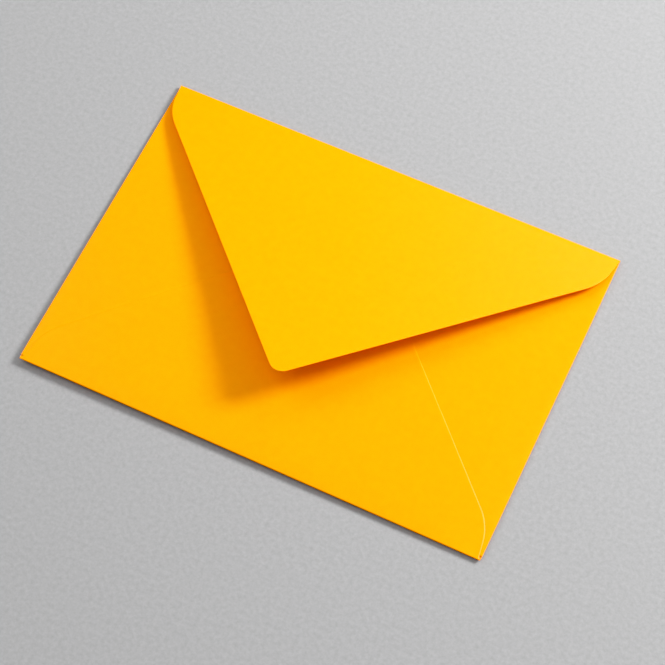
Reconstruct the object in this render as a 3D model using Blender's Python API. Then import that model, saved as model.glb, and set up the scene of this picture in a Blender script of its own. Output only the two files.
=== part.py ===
"""Paper envelope with a pointed flap, folded from one die-cut sheet of paper.

Metres, +Z up. The envelope lies on its address side with the flap side up.
The origin is the middle of the underside, +X runs along the long side and +Y
points at the fold of the closing flap.

The blank is close to a square standing on a corner. Its middle is the back
panel, and its four corners are the flaps. The two side flaps are folded in
first, the bottom flap is folded up and glued over them, and the closing flap
is folded down last and stands a little open.
"""

import math

import bmesh
import bpy
from mathutils import Matrix, Vector

# ---------------------------------------------------------------- dimensions
LENGTH = 0.162                  # finished size along X
HEIGHT = 0.114                  # finished size along Y
PAPER = 0.00015                 # thickness of the paper, about 120 g/m2

# Folds: radius to the middle of the paper, and the angle that it turns through
SIDE_RADIUS = 0.00030
BOTTOM_RADIUS = 0.00043
TOP_RADIUS = 0.00045
FOLD_SHUT = math.radians(180.0)
FLAP_OPEN = math.radians(9.4)   # the closing flap stands this far open
FOLD_STEPS = 10                 # flat facets in each fold

# Outline of the flaps, measured from the finished edge that they fold about.
# A flap's 45 degree edges meet its fold line this far past the corner of the envelope.
TOP_REACH = 0.0100
BOTTOM_REACH = 0.0091
SIDE_REACH = 0.0100
SHOULDER_LEAN = math.radians(9.0)
SIDE_LEAN = math.radians(13.0)
SHOULDER_RADIUS = 0.018
TOP_TIP_RADIUS = 0.0043
BOTTOM_TIP_RADIUS = 0.015
SIDE_TIP_RADIUS = 0.012
ARC_STEP = math.radians(6.0)    # turn of each segment on the rounded outline

# Half lengths of the folds, and the relief notches that let them pass each other
TOP_FOLD_HALF = 0.08095
BOTTOM_FOLD_HALF = 0.08070
BOTTOM_NECK_HALF = 0.08011      # the bottom flap narrows to this beside the notch
BOTTOM_NECK_DEPTH = 0.0012
SIDE_FOLD_HALF = 0.05560
NOTCH_HALF = 0.08055            # the notch's inner end, inside the side fold
NOTCH_SLOPE = 0.00010           # rise of its side edge from the side fold to its inner end
NOTCH_MOUTH = 0.00015           # its width where it opens

# Glue lines between the bottom flap and the side flaps
GLUE_INSET = 0.0020             # from the edge of the bottom flap
GLUE_WIDTH = 0.0080
GLUE_FROM = 0.0280              # X of its inner end
GLUE_TO = 0.0690                # X of its outer end
GLUE_BITE = 0.00004             # how far it reaches into each paper


# ------------------------------------------------------------------ geometry
class Fold:
    """One crease: where it starts on the flat sheet, how tight it is and how far it turns."""

    def __init__(self, edge, radius, angle):
        self.radius = radius
        self.angle = angle
        self.start = edge - radius - PAPER / 2
        self.arc = radius * angle
        landing = self.start + radius * math.sin(angle)
        # place on the flat sheet that ends up level with the finished edge
        self.base = self.start + self.arc - (edge - landing) / abs(math.cos(angle))

    def cuts(self):
        """Places on the flat sheet where its facets meet."""
        return [self.start + self.arc * i / FOLD_STEPS for i in range(FOLD_STEPS + 1)]

    def bend(self, along, above):
        """Folded place of a point on the flat sheet: distance outwards, and height."""
        if along <= self.start:
            return along, above
        turn = min((along - self.start) / self.radius, self.angle)
        rest = along - self.start - self.radius * turn
        reach = self.radius - above
        return (
            self.start + reach * math.sin(turn) + rest * math.cos(turn),
            self.radius - reach * math.cos(turn) + rest * math.sin(turn),
        )


SIDE = Fold(LENGTH / 2, SIDE_RADIUS, FOLD_SHUT)
BOTTOM = Fold(HEIGHT / 2, BOTTOM_RADIUS, FOLD_SHUT)
TOP = Fold(HEIGHT / 2, TOP_RADIUS, FOLD_SHUT - FLAP_OPEN)


def rounded(corners):
    """Polyline through the given (x, y, radius) corners, each turned into an arc."""
    points = []
    for i, (x, y, radius) in enumerate(corners):
        here = Vector((x, y))
        if radius <= 0.0:
            points.append(here)
            continue
        before = (Vector(corners[i - 1][:2]) - here).normalized()
        after = (Vector(corners[i + 1][:2]) - here).normalized()
        half = before.angle(after) / 2
        centre = here + (before + after).normalized() * (radius / math.sin(half))
        first = here + before * (radius / math.tan(half)) - centre
        sweep = first.angle_signed(here + after * (radius / math.tan(half)) - centre)
        steps = max(2, math.ceil(abs(sweep) / ARC_STEP))
        for k in range(steps + 1):
            turn = -sweep * k / steps
            points.append(
                centre
                + Vector(
                    (
                        first.x * math.cos(turn) - first.y * math.sin(turn),
                        first.x * math.sin(turn) + first.y * math.cos(turn),
                    )
                )
            )
    return points


def flap_outline(neck, reach, lean, tip_radius):
    """Outline of one flap as (across, depth), from its +across end to its other end.

    neck lists the (across, depth) corners between its fold and its shoulder, and
    reach is where its 45 degree edges meet the fold line.
    """
    half = neck[-1][0] + neck[-1][1] * math.tan(lean)
    depth = (reach - half) / (1.0 - math.tan(lean))
    shoulder = reach - depth
    return rounded(
        [(x, y, 0.0) for x, y in neck]
        + [
            (shoulder, depth, SHOULDER_RADIUS),
            (0.0, reach, tip_radius),
            (-shoulder, depth, SHOULDER_RADIUS),
        ]
        + [(-x, y, 0.0) for x, y in reversed(neck)]
    )


def blank_outline():
    """Closed outline of the die-cut sheet, anticlockwise from the right flap."""
    side = flap_outline([(SIDE_FOLD_HALF, 0.0)], HEIGHT / 2 + SIDE_REACH, SIDE_LEAN, SIDE_TIP_RADIUS)
    top = flap_outline([(TOP_FOLD_HALF, 0.0)], LENGTH / 2 + TOP_REACH, SHOULDER_LEAN, TOP_TIP_RADIUS)
    bottom = flap_outline(
        [(BOTTOM_FOLD_HALF, 0.0), (BOTTOM_NECK_HALF, BOTTOM_NECK_DEPTH)],
        LENGTH / 2 + BOTTOM_REACH,
        SHOULDER_LEAN,
        BOTTOM_TIP_RADIUS,
    )
    notch = Vector((NOTCH_HALF, SIDE_FOLD_HALF + NOTCH_SLOPE))
    mouth = Vector((TOP_FOLD_HALF, notch.y + NOTCH_MOUTH))
    outline = [Vector((SIDE.base + p.y, -p.x)) for p in side]
    outline += [Vector((notch.x, notch.y)), Vector((mouth.x, mouth.y))]
    outline += [Vector((p.x, TOP.base + p.y)) for p in top]
    outline += [Vector((-mouth.x, mouth.y)), Vector((-notch.x, notch.y))]
    outline += [Vector((-SIDE.base - p.y, p.x)) for p in side]
    outline += [Vector((-notch.x, -notch.y)), Vector((-mouth.x, -mouth.y))]
    outline += [Vector((-p.x, -BOTTOM.base - p.y)) for p in bottom]
    outline += [Vector((mouth.x, -mouth.y)), Vector((notch.x, -notch.y))]
    return outline


def folded(flat):
    """Where a point of the flat sheet lies on the finished envelope."""
    x, y, above = flat
    height = above
    if abs(y) <= SIDE_FOLD_HALF + NOTCH_SLOPE + 1e-6 and abs(x) > SIDE.start:
        along, height = SIDE.bend(abs(x), above)
        x = math.copysign(along, x)
    elif y > TOP.start:
        y, height = TOP.bend(y, above)
    elif y < -BOTTOM.start:
        along, height = BOTTOM.bend(-y, above)
        y = -along
    return Vector((x, y, height + PAPER / 2))


# ------------------------------------------------------------------- blender
def empty_scene():
    for obj in list(bpy.data.objects):
        bpy.data.objects.remove(obj, do_unlink=True)
    for mesh in list(bpy.data.meshes):
        bpy.data.meshes.remove(mesh)


def new_collection(name):
    collection = bpy.data.collections.new(name)
    bpy.context.scene.collection.children.link(collection)
    return collection


def paper_material():
    material = bpy.data.materials.new("yellow_orange_paper")
    material.use_nodes = True
    shader = material.node_tree.nodes["Principled BSDF"]
    shader.inputs["Base Color"].default_value = (0.93, 0.50, 0.010, 1.0)
    shader.inputs["Roughness"].default_value = 0.85
    shader.inputs["Metallic"].default_value = 0.0
    material.diffuse_color = (0.93, 0.50, 0.010, 1.0)
    return material


def sheet_mesh():
    """The flat blank with its real thickness, as a closed mesh."""
    curve = bpy.data.curves.new("blank_outline", "CURVE")
    curve.dimensions = "2D"
    curve.fill_mode = "BOTH"
    curve.extrude = PAPER / 2
    outline = blank_outline()
    spline = curve.splines.new("POLY")
    spline.points.add(len(outline) - 1)
    for point, place in zip(spline.points, outline):
        point.co = (place.x, place.y, 0.0, 1.0)
    spline.use_cyclic_u = True
    guide = bpy.data.objects.new("blank_outline", curve)
    bpy.context.scene.collection.objects.link(guide)
    bpy.context.view_layer.update()
    depsgraph = bpy.context.evaluated_depsgraph_get()
    mesh = bpy.data.meshes.new_from_object(guide.evaluated_get(depsgraph))
    bpy.data.objects.remove(guide, do_unlink=True)
    bpy.data.curves.remove(curve)
    mesh.name = "envelope"
    return mesh


def crease_and_fold(mesh):
    """Cuts facets along each crease, then folds the sheet about them."""
    bm = bmesh.new()
    bm.from_mesh(mesh)
    bmesh.ops.remove_doubles(bm, verts=bm.verts, dist=1e-6)
    bmesh.ops.dissolve_limit(bm, angle_limit=math.radians(0.5), verts=bm.verts, edges=bm.edges)
    creases = [(Vector((1.0, 0.0, 0.0)), sign * cut) for sign in (1, -1) for cut in SIDE.cuts()]
    creases += [(Vector((0.0, 1.0, 0.0)), cut) for cut in TOP.cuts()]
    creases += [(Vector((0.0, 1.0, 0.0)), -cut) for cut in BOTTOM.cuts()]
    for normal, place in creases:
        bmesh.ops.bisect_plane(
            bm,
            geom=bm.verts[:] + bm.edges[:] + bm.faces[:],
            dist=1e-7,
            plane_co=normal * place,
            plane_no=normal,
        )
    for vert in bm.verts:
        vert.co = folded(vert.co)
    bmesh.ops.triangulate(bm, faces=bm.faces, quad_method="BEAUTY", ngon_method="BEAUTY")
    bmesh.ops.recalc_face_normals(bm, faces=bm.faces)
    bm.to_mesh(mesh)
    bm.free()


def glue_line(name, side, collection):
    """Strip that joins the bottom flap to one side flap. side is 1 on the right and -1 on the left."""
    low = PAPER + 2 * SIDE_RADIUS - GLUE_BITE
    high = 2 * BOTTOM_RADIUS + GLUE_BITE
    apex = LENGTH / 2 + BOTTOM_REACH - HEIGHT / 2   # where the bottom flap's edges would meet, on the Y axis
    middle = apex - (GLUE_INSET + GLUE_WIDTH / 2) * math.sqrt(2.0)
    x = (GLUE_FROM + GLUE_TO) / 2
    bpy.ops.mesh.primitive_cube_add(size=1.0)
    strip = bpy.context.object
    strip.name = name
    strip.data.transform(
        Matrix.Translation((side * x, middle - x, (low + high) / 2))
        @ Matrix.Rotation(math.radians(-45.0 * side), 4, "Z")
        @ Matrix.Diagonal(((GLUE_TO - GLUE_FROM) * math.sqrt(2.0), GLUE_WIDTH, high - low, 1.0))
    )
    for owner in list(strip.users_collection):
        owner.objects.unlink(strip)
    collection.objects.link(strip)
    strip.hide_render = True
    strip.display_type = "WIRE"
    return strip


def main():
    empty_scene()
    parts = new_collection("paper_envelope")
    cutters = new_collection("joined_shapes")

    mesh = sheet_mesh()
    crease_and_fold(mesh)
    envelope = bpy.data.objects.new("envelope", mesh)
    parts.objects.link(envelope)
    mesh.materials.clear()
    mesh.materials.append(paper_material())

    for name, side in (("glue_line_right", 1), ("glue_line_left", -1)):
        join = envelope.modifiers.new(name, "BOOLEAN")
        join.operation = "UNION"
        join.solver = "EXACT"
        join.object = glue_line(name, side, cutters)


main()
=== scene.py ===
import math

import bmesh
import bpy
import numpy as np
from mathutils import Matrix, Vector, noise


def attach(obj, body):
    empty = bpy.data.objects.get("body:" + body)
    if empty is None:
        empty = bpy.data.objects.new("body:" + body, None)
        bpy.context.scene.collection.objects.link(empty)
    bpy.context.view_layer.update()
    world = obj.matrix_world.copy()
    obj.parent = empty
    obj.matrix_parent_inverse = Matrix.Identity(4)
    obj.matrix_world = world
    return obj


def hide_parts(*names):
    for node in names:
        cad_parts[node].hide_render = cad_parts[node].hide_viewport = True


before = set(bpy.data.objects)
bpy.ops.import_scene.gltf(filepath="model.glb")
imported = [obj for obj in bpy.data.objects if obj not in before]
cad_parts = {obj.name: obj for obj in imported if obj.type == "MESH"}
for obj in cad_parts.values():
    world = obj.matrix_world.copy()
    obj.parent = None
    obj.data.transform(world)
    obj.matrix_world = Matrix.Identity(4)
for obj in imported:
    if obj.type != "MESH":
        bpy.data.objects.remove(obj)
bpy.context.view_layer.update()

# ---------------------------------------------------------------- dimensions
# Metres. The outline is the CAD part's own, so the sheet folds up onto it. The folds
# are pressed tighter here than the part's, about the same finished edges.
LENGTH = 0.162
HEIGHT = 0.114
PAPER = 0.00015
SIDE_RADIUS = 0.00013
BOTTOM_RADIUS = 0.00019
TOP_RADIUS = 0.00033
FLAP_OPEN = math.radians(9.3)
TOP_REACH = 0.0100
BOTTOM_REACH = 0.0091
SIDE_REACH = 0.0100
SHOULDER_LEAN = math.radians(9.0)
SIDE_LEAN = math.radians(13.0)
SHOULDER_RADIUS = 0.018
TOP_TIP_RADIUS = 0.0043
BOTTOM_TIP_RADIUS = 0.015
SIDE_TIP_RADIUS = 0.012
TOP_FOLD_HALF = 0.08095
BOTTOM_FOLD_HALF = 0.08070
BOTTOM_NECK_HALF = 0.08011
BOTTOM_NECK_DEPTH = 0.0012
SIDE_FOLD_HALF = 0.05560
NOTCH_HALF = 0.08055
NOTCH_SLOPE = 0.00010
NOTCH_MOUTH = 0.00015

# How finely the sheet is cut up
ARC_STEP = math.radians(2.5)
FOLD_STEPS = 18
GRID = 0.003
RIMS = (0.00012, 0.00026, 0.00045, 0.00075)     # lines that follow the cut edge, measured inwards from it

# How the real sheet strays from the flat CAD shape
TWIST = 0.00088             # the left bottom corner of the whole envelope stands this far off the floor
TWIST_SOFTNESS = 0.06
CREASE_LIFT = {             # the creases stand off the floor by this much more at each corner (x side, y side)
    (-1, -1): 0.00090,
    (1, -1): 0.00075,
    (-1, 1): 0.00065,
    (1, 1): 0.00028,
}
CREASE_LENGTH = 0.0050      # how far inside the creases the back panel comes down to the floor
CREASE_KEPT = 0.40          # share of the crease's lift that the front keeps inside it
PUFF = 0.00086              # the pocket's front stands this much higher than its bottom crease
PUFF_LENGTH = 0.0042
SIDE_PUFF = 0.00010
EDGE_DROP = 0.00010         # the cut edges of the bottom flap are pressed down onto the side flaps
EDGE_DROP_WIDTH = 0.00045
WAVE = 0.00007              # slow unevenness of the paper
FLAP_SHEAR = -0.0053        # the closing flap leans this far to one side for each unit of its depth
FLAP_BOW = 0.0005           # it bulges upwards by this much, at this distance from its crease
FLAP_BOW_AT = 0.022


# ------------------------------------------------------------- folding the sheet
class Fold:
    """One crease: where it starts on the flat sheet, how tight it is and how far it turns."""

    def __init__(self, edge, radius, angle):
        self.radius = radius
        self.angle = angle
        self.start = edge - radius - PAPER / 2
        self.arc = radius * angle
        landing = self.start + radius * math.sin(angle)
        self.base = self.start + self.arc - (edge - landing) / abs(math.cos(angle))

    def cuts(self):
        return [self.start + self.arc * i / FOLD_STEPS for i in range(FOLD_STEPS + 1)]

    def turn(self, along):
        return np.clip((along - self.start) / self.radius, 0.0, self.angle)

    def bend(self, along, above):
        """Folded place of points of the flat sheet: distance outwards, and height."""
        turn = self.turn(along)
        rest = along - self.start - self.radius * turn
        reach = self.radius - above
        return (
            self.start + reach * np.sin(turn) + rest * np.cos(turn),
            self.radius - reach * np.cos(turn) + rest * np.sin(turn),
        )


SIDE = Fold(LENGTH / 2, SIDE_RADIUS, math.pi)
BOTTOM = Fold(HEIGHT / 2, BOTTOM_RADIUS, math.pi)
TOP = Fold(HEIGHT / 2, TOP_RADIUS, math.pi - FLAP_OPEN)


def rounded(corners):
    """Polyline through the given (x, y, radius) corners, each turned into an arc."""
    points = []
    for i, (x, y, radius) in enumerate(corners):
        here = Vector((x, y))
        if radius <= 0.0:
            points.append(here)
            continue
        before = (Vector(corners[i - 1][:2]) - here).normalized()
        after = (Vector(corners[i + 1][:2]) - here).normalized()
        half = before.angle(after) / 2
        centre = here + (before + after).normalized() * (radius / math.sin(half))
        first = here + before * (radius / math.tan(half)) - centre
        sweep = first.angle_signed(here + after * (radius / math.tan(half)) - centre)
        steps = max(2, math.ceil(abs(sweep) / ARC_STEP))
        for k in range(steps + 1):
            turn = -sweep * k / steps
            points.append(
                centre
                + Vector(
                    (
                        first.x * math.cos(turn) - first.y * math.sin(turn),
                        first.x * math.sin(turn) + first.y * math.cos(turn),
                    )
                )
            )
    return points


def flap_outline(neck, reach, lean, tip_radius):
    """Outline of one flap as (across, depth), from its +across end to its other end."""
    half = neck[-1][0] + neck[-1][1] * math.tan(lean)
    depth = (reach - half) / (1.0 - math.tan(lean))
    shoulder = reach - depth
    return rounded(
        [(x, y, 0.0) for x, y in neck]
        + [
            (shoulder, depth, SHOULDER_RADIUS),
            (0.0, reach, tip_radius),
            (-shoulder, depth, SHOULDER_RADIUS),
        ]
        + [(-x, y, 0.0) for x, y in reversed(neck)]
    )


def blank_outline():
    """Closed outline of the die-cut sheet, anticlockwise from the right flap."""
    side = flap_outline([(SIDE_FOLD_HALF, 0.0)], HEIGHT / 2 + SIDE_REACH, SIDE_LEAN, SIDE_TIP_RADIUS)
    top = flap_outline([(TOP_FOLD_HALF, 0.0)], LENGTH / 2 + TOP_REACH, SHOULDER_LEAN, TOP_TIP_RADIUS)
    bottom = flap_outline(
        [(BOTTOM_FOLD_HALF, 0.0), (BOTTOM_NECK_HALF, BOTTOM_NECK_DEPTH)],
        LENGTH / 2 + BOTTOM_REACH,
        SHOULDER_LEAN,
        BOTTOM_TIP_RADIUS,
    )
    notch = Vector((NOTCH_HALF, SIDE_FOLD_HALF + NOTCH_SLOPE))
    mouth = Vector((TOP_FOLD_HALF, notch.y + NOTCH_MOUTH))
    outline = [Vector((SIDE.base + p.y, -p.x)) for p in side]
    outline += [Vector((notch.x, notch.y)), Vector((mouth.x, mouth.y))]
    outline += [Vector((p.x, TOP.base + p.y)) for p in top]
    outline += [Vector((-mouth.x, mouth.y)), Vector((-notch.x, notch.y))]
    outline += [Vector((-SIDE.base - p.y, p.x)) for p in side]
    outline += [Vector((-notch.x, -notch.y)), Vector((-mouth.x, -mouth.y))]
    outline += [Vector((-p.x, -BOTTOM.base - p.y)) for p in bottom]
    outline += [Vector((mouth.x, -mouth.y)), Vector((notch.x, -notch.y))]
    return outline


def inset(outline, distance):
    """The same outline moved inwards."""
    moved = []
    count = len(outline)
    for i, here in enumerate(outline):
        a = (here - outline[i - 1]).normalized()
        b = (outline[(i + 1) % count] - here).normalized()
        na, nb = Vector((-a.y, a.x)), Vector((-b.y, b.x))
        moved.append(here + (na + nb) * (distance / max(0.4, 1.0 + na.dot(nb))))
    return moved


def cut_lines():
    """The straight lines, (axis, place), along which the flat sheet is cut into faces."""
    lines = []
    for fold, axis, signs in ((SIDE, 0, (1, -1)), (TOP, 1, (1,)), (BOTTOM, 1, (-1,))):
        for sign in signs:
            lines += [(axis, sign * cut) for cut in fold.cuts()]
    near_fold = (0.0004, 0.0009, 0.0015, 0.0023, 0.0033, 0.0046, 0.0062, 0.0082, 0.0106)
    lines += [(1, -(BOTTOM.start + BOTTOM.arc + s)) for s in near_fold]
    lines += [(1, -(BOTTOM.start - s)) for s in near_fold[::3]]
    taken = {0: [p for a, p in lines if a == 0], 1: [p for a, p in lines if a == 1]}
    for axis in (0, 1):
        reach = 0.150
        count = int(reach / GRID)
        for i in range(-count, count + 1):
            place = i * GRID
            if all(abs(place - t) > GRID * 0.2 for t in taken[axis]):
                lines.append((axis, place))
    return lines


def flat_sheet():
    """The flat blank as (points, faces, distance of each point to the cut edge)."""
    outline = blank_outline()
    bm = bmesh.new()
    depth = bm.verts.layers.float.new("depth")
    rings = []
    for distance in (0.0,) + RIMS:
        ring = []
        for p in inset(outline, distance) if distance else outline:
            v = bm.verts.new((p.x, p.y, 0.0))
            v[depth] = distance
            ring.append(v)
        rings.append(ring)
    count = len(outline)
    for outer, inner in zip(rings, rings[1:]):
        for i in range(count):
            j = (i + 1) % count
            bm.faces.new((outer[i], outer[j], inner[j], inner[i]))
    bm.faces.new(rings[-1])
    for axis, place in cut_lines():
        normal = Vector((1.0, 0.0, 0.0)) if axis == 0 else Vector((0.0, 1.0, 0.0))
        bmesh.ops.bisect_plane(
            bm,
            geom=bm.verts[:] + bm.edges[:] + bm.faces[:],
            dist=1e-8,
            plane_co=normal * place,
            plane_no=normal,
        )
    bmesh.ops.triangulate(bm, faces=[f for f in bm.faces if len(f.verts) > 4])
    bm.verts.index_update()
    points = np.array([v.co[:2] for v in bm.verts])
    depths = np.array([v[depth] for v in bm.verts])
    depths[np.array([not v.is_boundary and v[depth] == 0.0 for v in bm.verts])] = 1.0
    faces = [[v.index for v in f.verts] for f in bm.faces]
    rim = [
        (loop.vert.index, loop.link_loop_next.vert.index)
        for e in bm.edges
        if e.is_boundary
        for loop in e.link_loops
    ]
    bm.free()
    return points, faces, rim, depths


def fold_up(points, above):
    """Places of the points on the finished envelope, and which part of the sheet each belongs to."""
    x, y = points[:, 0].copy(), points[:, 1].copy()
    z = np.full(len(points), above)
    on_side = (np.abs(y) <= SIDE_FOLD_HALF + NOTCH_SLOPE + 1e-6) & (np.abs(x) > SIDE.start)
    on_top = ~on_side & (y > TOP.start)
    on_bottom = ~on_side & (y < -BOTTOM.start)
    front = np.zeros(len(points))           # 0 on the back panel, 1 on the flaps, between them in the folds
    out, high = SIDE.bend(np.abs(x), above)
    front[on_side] = (SIDE.turn(np.abs(x)) / math.pi)[on_side]
    x[on_side] = (np.sign(x) * out)[on_side]
    z[on_side] = high[on_side]
    out, high = TOP.bend(y, above)
    x[on_top] += (FLAP_SHEAR * np.clip(y - TOP.base, 0.0, None))[on_top]
    y[on_top] = out[on_top]
    z[on_top] = high[on_top]
    turned = BOTTOM.turn(-points[:, 1]) / math.pi
    front[on_bottom] = turned[on_bottom]
    out, high = BOTTOM.bend(-points[:, 1], above)
    y[on_bottom] = -out[on_bottom]
    z[on_bottom] = high[on_bottom]
    return np.stack([x, y, z + PAPER / 2], axis=1), front, on_side, on_top, on_bottom


def relax(places, front, on_side, on_top, on_bottom, depths, flat):
    """Moves the folded sheet a little, so that it lies as real paper does."""
    x, y = places[:, 0], places[:, 1]
    u = np.clip(0.5 + x / LENGTH, 0.0, 1.0)
    v = np.clip(0.5 + y / HEIGHT, 0.0, 1.0)
    twist = TWIST * TWIST_SOFTNESS * np.logaddexp(0.0, (1.0 - u - v) / TWIST_SOFTNESS)
    twist -= TWIST * TWIST_SOFTNESS * np.logaddexp(0.0, -1.0 / TWIST_SOFTNESS)

    corner = (
        CREASE_LIFT[-1, -1] * (1 - u) * (1 - v)
        + CREASE_LIFT[1, -1] * u * (1 - v)
        + CREASE_LIFT[-1, 1] * (1 - u) * v
        + CREASE_LIFT[1, 1] * u * v
    )
    beside = np.clip(LENGTH / 2 - np.abs(x), 0.0, None)
    above_bottom = np.clip(y + HEIGHT / 2, 0.0, None)
    below_top = np.clip(HEIGHT / 2 - y, 0.0, None)
    nearest = np.minimum(np.minimum(beside, above_bottom), below_top)
    crease = np.exp(-nearest / CREASE_LENGTH)
    lift = corner * (crease + CREASE_KEPT * (1.0 - crease) * front)

    ends = 1.0 - np.exp(-beside / 0.011)
    puff = PUFF * (1.0 - np.exp(-above_bottom / PUFF_LENGTH)) * ends * front
    puff += SIDE_PUFF * (1.0 - np.exp(-beside / PUFF_LENGTH)) * front
    puff *= (1.0 - np.exp(-below_top / 0.012)) * (1.0 - 0.75 * np.clip((v - 0.35) / 0.45, 0.0, 1.0))

    drop = np.zeros(len(places))
    near = np.clip(1.0 - depths / EDGE_DROP_WIDTH, 0.0, 1.0)
    drop[on_bottom] = (EDGE_DROP * near**2 * (front > 0.99))[on_bottom]
    slow = np.array([noise.noise(Vector((a * 38.0, b * 38.0, 3.7))) for a, b in flat])
    wave = WAVE * slow * np.clip(nearest / 0.006, 0.0, 1.0) * (front > 0.5)
    raised = twist + lift + puff - drop + wave
    along = np.clip(flat[:, 1] - TOP.base, 0.0, None) / FLAP_BOW_AT
    bow = FLAP_BOW * along * np.exp(1.0 - along) + corner * 0.9 * np.exp(-below_top / 0.008)
    raised[on_top] = bow[on_top]
    moved = places.copy()
    moved[:, 2] += raised
    return moved


def paper_sheet():
    flat, faces, rim, depths = flat_sheet()
    count = len(flat)
    layers = []
    for above in (PAPER / 2, -PAPER / 2):
        places, front, on_side, on_top, on_bottom = fold_up(flat, above)
        layers.append(relax(places, front, on_side, on_top, on_bottom, depths, flat))
    verts = np.concatenate(layers)
    polys = [tuple(f) for f in faces]
    polys += [tuple(count + i for i in reversed(f)) for f in faces]
    polys += [(b, a, count + a, count + b) for a, b in rim]
    mesh = bpy.data.meshes.new("envelope_paper")
    mesh.from_pydata(verts.tolist(), [], polys)
    mesh.validate()
    mesh.update()
    spot = mesh.attributes.new("sheet", "FLOAT_VECTOR", "POINT")
    side = np.concatenate([np.zeros(count), np.full(count, 0.01)])
    spot.data.foreach_set(
        "vector", np.column_stack([np.tile(flat, (2, 1)), side]).astype(np.float32).ravel()
    )
    cut = mesh.attributes.new("cut", "FLOAT", "POINT")
    # paleness painted along the cut edges: paler cut fibres plus a painted highlight, strongest on the closing
    # flap
    pale_cut_and_highlight = np.where(depths >= 0.9, 0.0, np.clip(1.0 - depths / RIMS[1], 0.0, 1.0))
    pale_cut_and_highlight *= np.where(on_top, 1.0, 0.29)
    cut.data.foreach_set("value", np.tile(pale_cut_and_highlight, 2).astype(np.float32))
    mesh.shade_smooth()
    mesh.set_sharp_from_angle(angle=math.radians(50.0))
    obj = bpy.data.objects.new("envelope_paper", mesh)
    bpy.context.scene.collection.objects.link(obj)
    return obj


# ------------------------------------------------------------------ materials
def node(tree, kind, at, **values):
    made = tree.nodes.new(kind)
    made.location = at
    for key, value in values.items():
        if key in made.inputs:
            made.inputs[key].default_value = value
        else:
            setattr(made, key, value)
    return made


def ramp(tree, at, low, high, low_colour, high_colour):
    made = tree.nodes.new("ShaderNodeValToRGB")
    made.location = at
    made.color_ramp.elements[0].position = low
    made.color_ramp.elements[0].color = (*low_colour, 1.0)
    made.color_ramp.elements[1].position = high
    made.color_ramp.elements[1].color = (*high_colour, 1.0)
    return made


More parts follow.
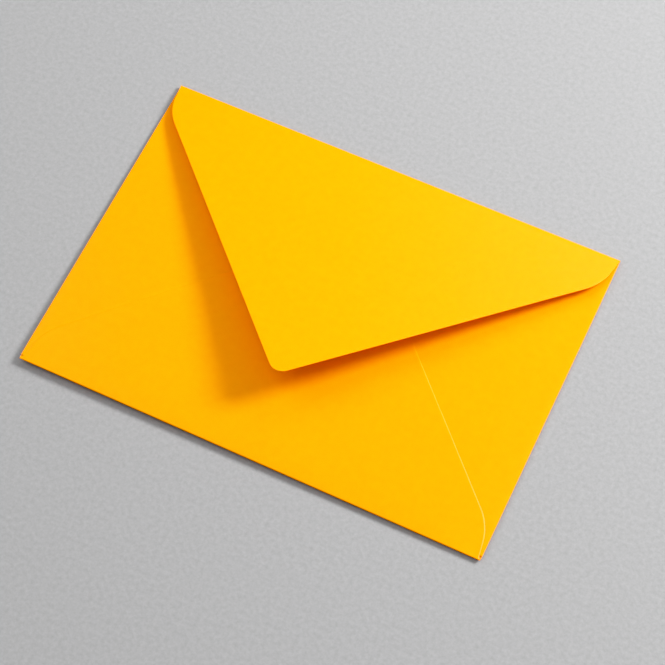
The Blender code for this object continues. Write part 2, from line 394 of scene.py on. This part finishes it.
def paper_material():
    material = bpy.data.materials.new("yellow_orange_paper")
    material.use_nodes = True
    tree = material.node_tree
    tree.nodes.clear()
    link = tree.links.new

    spot = node(tree, "ShaderNodeAttribute", (-1500, 0), attribute_name="sheet")
    cut = node(tree, "ShaderNodeAttribute", (-1500, 400), attribute_name="cut")

    # fibre clouds of a few millimetres, and the fine grain between them
    cloud = node(tree, "ShaderNodeTexNoise", (-1250, 250), Scale=420.0, Detail=4.0, Roughness=0.6)
    grain = node(tree, "ShaderNodeTexNoise", (-1250, 0), Scale=2600.0, Detail=3.0, Roughness=0.65)
    link(spot.outputs["Vector"], cloud.inputs["Vector"])
    link(spot.outputs["Vector"], grain.inputs["Vector"])

    # long fibres lie mostly one way in the sheet
    stretch = node(tree, "ShaderNodeMapping", (-1450, -300))
    stretch.inputs["Rotation"].default_value = (0.0, 0.0, math.radians(38.0))
    stretch.inputs["Scale"].default_value = (520.0, 2400.0, 900.0)
    link(spot.outputs["Vector"], stretch.inputs["Vector"])
    fibre = node(tree, "ShaderNodeTexNoise", (-1250, -300), Scale=1.0, Detail=4.0, Roughness=0.6, Distortion=0.4)
    link(stretch.outputs["Vector"], fibre.inputs["Vector"])

    tone = ramp(tree, (-1000, 250), 0.30, 0.70, (0.930, 0.402, 0.0), (0.960, 0.432, 0.001))
    link(cloud.outputs["Fac"], tone.inputs["Fac"])
    speck = ramp(tree, (-1000, 0), 0.30, 0.72, (0.95, 0.935, 0.88), (1.0, 1.0, 1.0))
    link(grain.outputs["Fac"], speck.inputs["Fac"])
    body = node(tree, "ShaderNodeMix", (-700, 200), data_type="RGBA", blend_type="MULTIPLY")
    body.inputs[0].default_value = 1.0
    link(tone.outputs["Color"], body.inputs[6])
    link(speck.outputs["Color"], body.inputs[7])

    # the die-cut edges are painted paler: partly the paler cut fibres, partly a painted highlight where the
    # edges catch the light
    edge_pale_and_highlight = node(tree, "ShaderNodeMix", (-450, 200), data_type="RGBA")
    edge_pale_and_highlight.inputs[7].default_value = (1.0, 0.56, 0.06, 1.0)
    fade = ramp(tree, (-1000, 500), 0.0, 1.0, (0.0, 0.0, 0.0), (0.32, 0.32, 0.32))
    link(cut.outputs["Fac"], fade.inputs["Fac"])
    link(fade.outputs["Color"], edge_pale_and_highlight.inputs[0])
    link(body.outputs[2], edge_pale_and_highlight.inputs[6])

    rough = node(tree, "ShaderNodeMapRange", (-700, -100), **{"To Min": 0.34, "To Max": 0.50})
    link(fibre.outputs["Fac"], rough.inputs["Value"])

    height = node(tree, "ShaderNodeMath", (-900, -350), operation="MULTIPLY_ADD")
    link(grain.outputs["Fac"], height.inputs[0])
    height.inputs[1].default_value = 0.45
    link(fibre.outputs["Fac"], height.inputs[2])
    bump = node(tree, "ShaderNodeBump", (-600, -350), Strength=0.35, Distance=0.00006)
    link(height.outputs["Value"], bump.inputs["Height"])

    shader = node(tree, "ShaderNodeBsdfPrincipled", (-150, 100))
    shader.inputs["Metallic"].default_value = 0.0
    shader.inputs["Specular IOR Level"].default_value = 0.31
    link(edge_pale_and_highlight.outputs[2], shader.inputs["Base Color"])
    link(rough.outputs["Result"], shader.inputs["Roughness"])
    link(bump.outputs["Normal"], shader.inputs["Normal"])

    through = node(tree, "ShaderNodeBsdfTranslucent", (-150, -300))
    through.inputs["Color"].default_value = (1.0, 0.36, 0.001, 1.0)
    link(bump.outputs["Normal"], through.inputs["Normal"])
    mix = node(tree, "ShaderNodeMixShader", (150, 0))
    mix.inputs[0].default_value = 0.39
    link(shader.outputs["BSDF"], mix.inputs[1])
    link(through.outputs["BSDF"], mix.inputs[2])
    out = node(tree, "ShaderNodeOutputMaterial", (350, 0))
    link(mix.outputs["Shader"], out.inputs["Surface"])
    material.diffuse_color = (0.93, 0.42, 0.010, 1.0)
    return material


def floor_material():
    material = bpy.data.materials.new("pale_floor")
    material.use_nodes = True
    tree = material.node_tree
    shader = tree.nodes["Principled BSDF"]
    shader.inputs["Roughness"].default_value = 0.9
    shader.inputs["Specular IOR Level"].default_value = 0.2
    where = node(tree, "ShaderNodeTexCoord", (-900, 0))
    grain = node(tree, "ShaderNodeTexNoise", (-700, 0), Scale=700.0, Detail=5.0, Roughness=0.75)
    tree.links.new(where.outputs["Object"], grain.inputs["Vector"])
    tone = ramp(tree, (-450, 0), 0.25, 0.75, (0.222, 0.222, 0.223), (0.288, 0.288, 0.290))
    tree.links.new(grain.outputs["Fac"], tone.inputs["Fac"])
    tree.links.new(tone.outputs["Color"], shader.inputs["Base Color"])
    return material


# ---------------------------------------------------------------------- scene
# How the studio camera renders light: a little extra contrast with a soft shoulder
TONE = (
    (0.0, 0.0),
    (0.10, 0.092),
    (0.25, 0.240),
    (0.50, 0.510),
    (0.64, 0.665),
    (0.80, 0.815),
    (1.00, 0.945),
    (1.15, 0.985),
    (1.35, 0.998),
    (1.50, 1.0),
)
WHITE = TONE[-1][0]
# and how it drops what little blue so strong a yellow gives back, except in the sheen
BLUE = (
    (0.0, 0.0),
    (0.010, 0.0004),
    (0.018, 0.0018),
    (0.024, 0.0070),
    (0.029, 0.0185),
    (0.034, 0.0320),
    (0.042, 0.0430),
    (0.055, 0.055),
    (0.12, 0.12),
    (0.5, 0.5),
    (1.0, 1.0),
)


def floor():
    bpy.ops.mesh.primitive_grid_add(x_subdivisions=24, y_subdivisions=24, size=6.0)
    obj = bpy.context.object
    obj.name = "floor"
    obj.data.materials.append(floor_material())
    return obj


def camera():
    """Looks down at the envelope from its lower right, with the long side tilted."""
    right = Vector((0.902398, 0.430123, -0.025928)).normalized()
    ahead = Vector((-0.206354, 0.378539, -0.90229)).normalized()
    right = (right - ahead * right.dot(ahead)).normalized()
    up = right.cross(ahead)
    data = bpy.data.cameras.new("camera")
    data.sensor_fit = "HORIZONTAL"
    data.sensor_width = 36.0
    data.lens = 36.0 * 2037.206 / 665.0
    data.clip_start, data.clip_end = 0.01, 20.0
    obj = bpy.data.objects.new("camera", data)
    turn = Matrix((right, up, -ahead)).transposed().to_4x4()
    obj.matrix_world = Matrix.Translation((0.142326, -0.254997, 0.594420)) @ turn
    bpy.context.scene.collection.objects.link(obj)
    bpy.context.scene.camera = obj


def lamp(name, direction, distance, size, power, colour=(1.0, 1.0, 1.0), target=(0.0, 0.0, 0.0)):
    data = bpy.data.lights.new(name, "AREA")
    data.shape = "DISK"
    data.size = size
    data.energy = power
    data.color = colour
    obj = bpy.data.objects.new(name, data)
    target = Vector(target)
    obj.location = target + Vector(direction).normalized() * distance
    obj.rotation_euler = (target - obj.location).to_track_quat("-Z", "Y").to_euler()
    bpy.context.scene.collection.objects.link(obj)
    return obj


def lights():
    lamp("key", (0.695, 0.648, 0.66), 1.00, 0.33, 17.4)
    lamp("soft", (0.06, 0.74, 0.62), 0.80, 0.45, 1.6)
    lamp("overhead", (0.14, -0.22, 0.98), 1.00, 1.00, 4.6)
    lamp("left", (-0.68, 0.14, 0.74), 1.00, 0.80, 4.8)
    world = bpy.data.worlds.new("studio")
    world.use_nodes = True
    background = world.node_tree.nodes["Background"]
    background.inputs["Color"].default_value = (1.0, 1.0, 1.0, 1.0)
    background.inputs["Strength"].default_value = 0.20
    bpy.context.scene.world = world
    view = bpy.context.scene.view_settings
    view.view_transform = "Standard"
    view.look = "None"
    view.exposure = 0.0
    view.gamma = 1.0
    view.use_curve_mapping = True
    mapping = view.curve_mapping
    mapping.white_level = (WHITE, WHITE, WHITE)
    for curve, points in ((mapping.curves[3], [(x / WHITE, y) for x, y in TONE]), (mapping.curves[2], BLUE)):
        for at in points[1:-1]:
            curve.points.new(*at)
    mapping.update()


sheet = paper_sheet()
sheet.data.materials.append(paper_material())
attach(sheet, "root")
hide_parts("envelope")
floor()
camera()
lights()
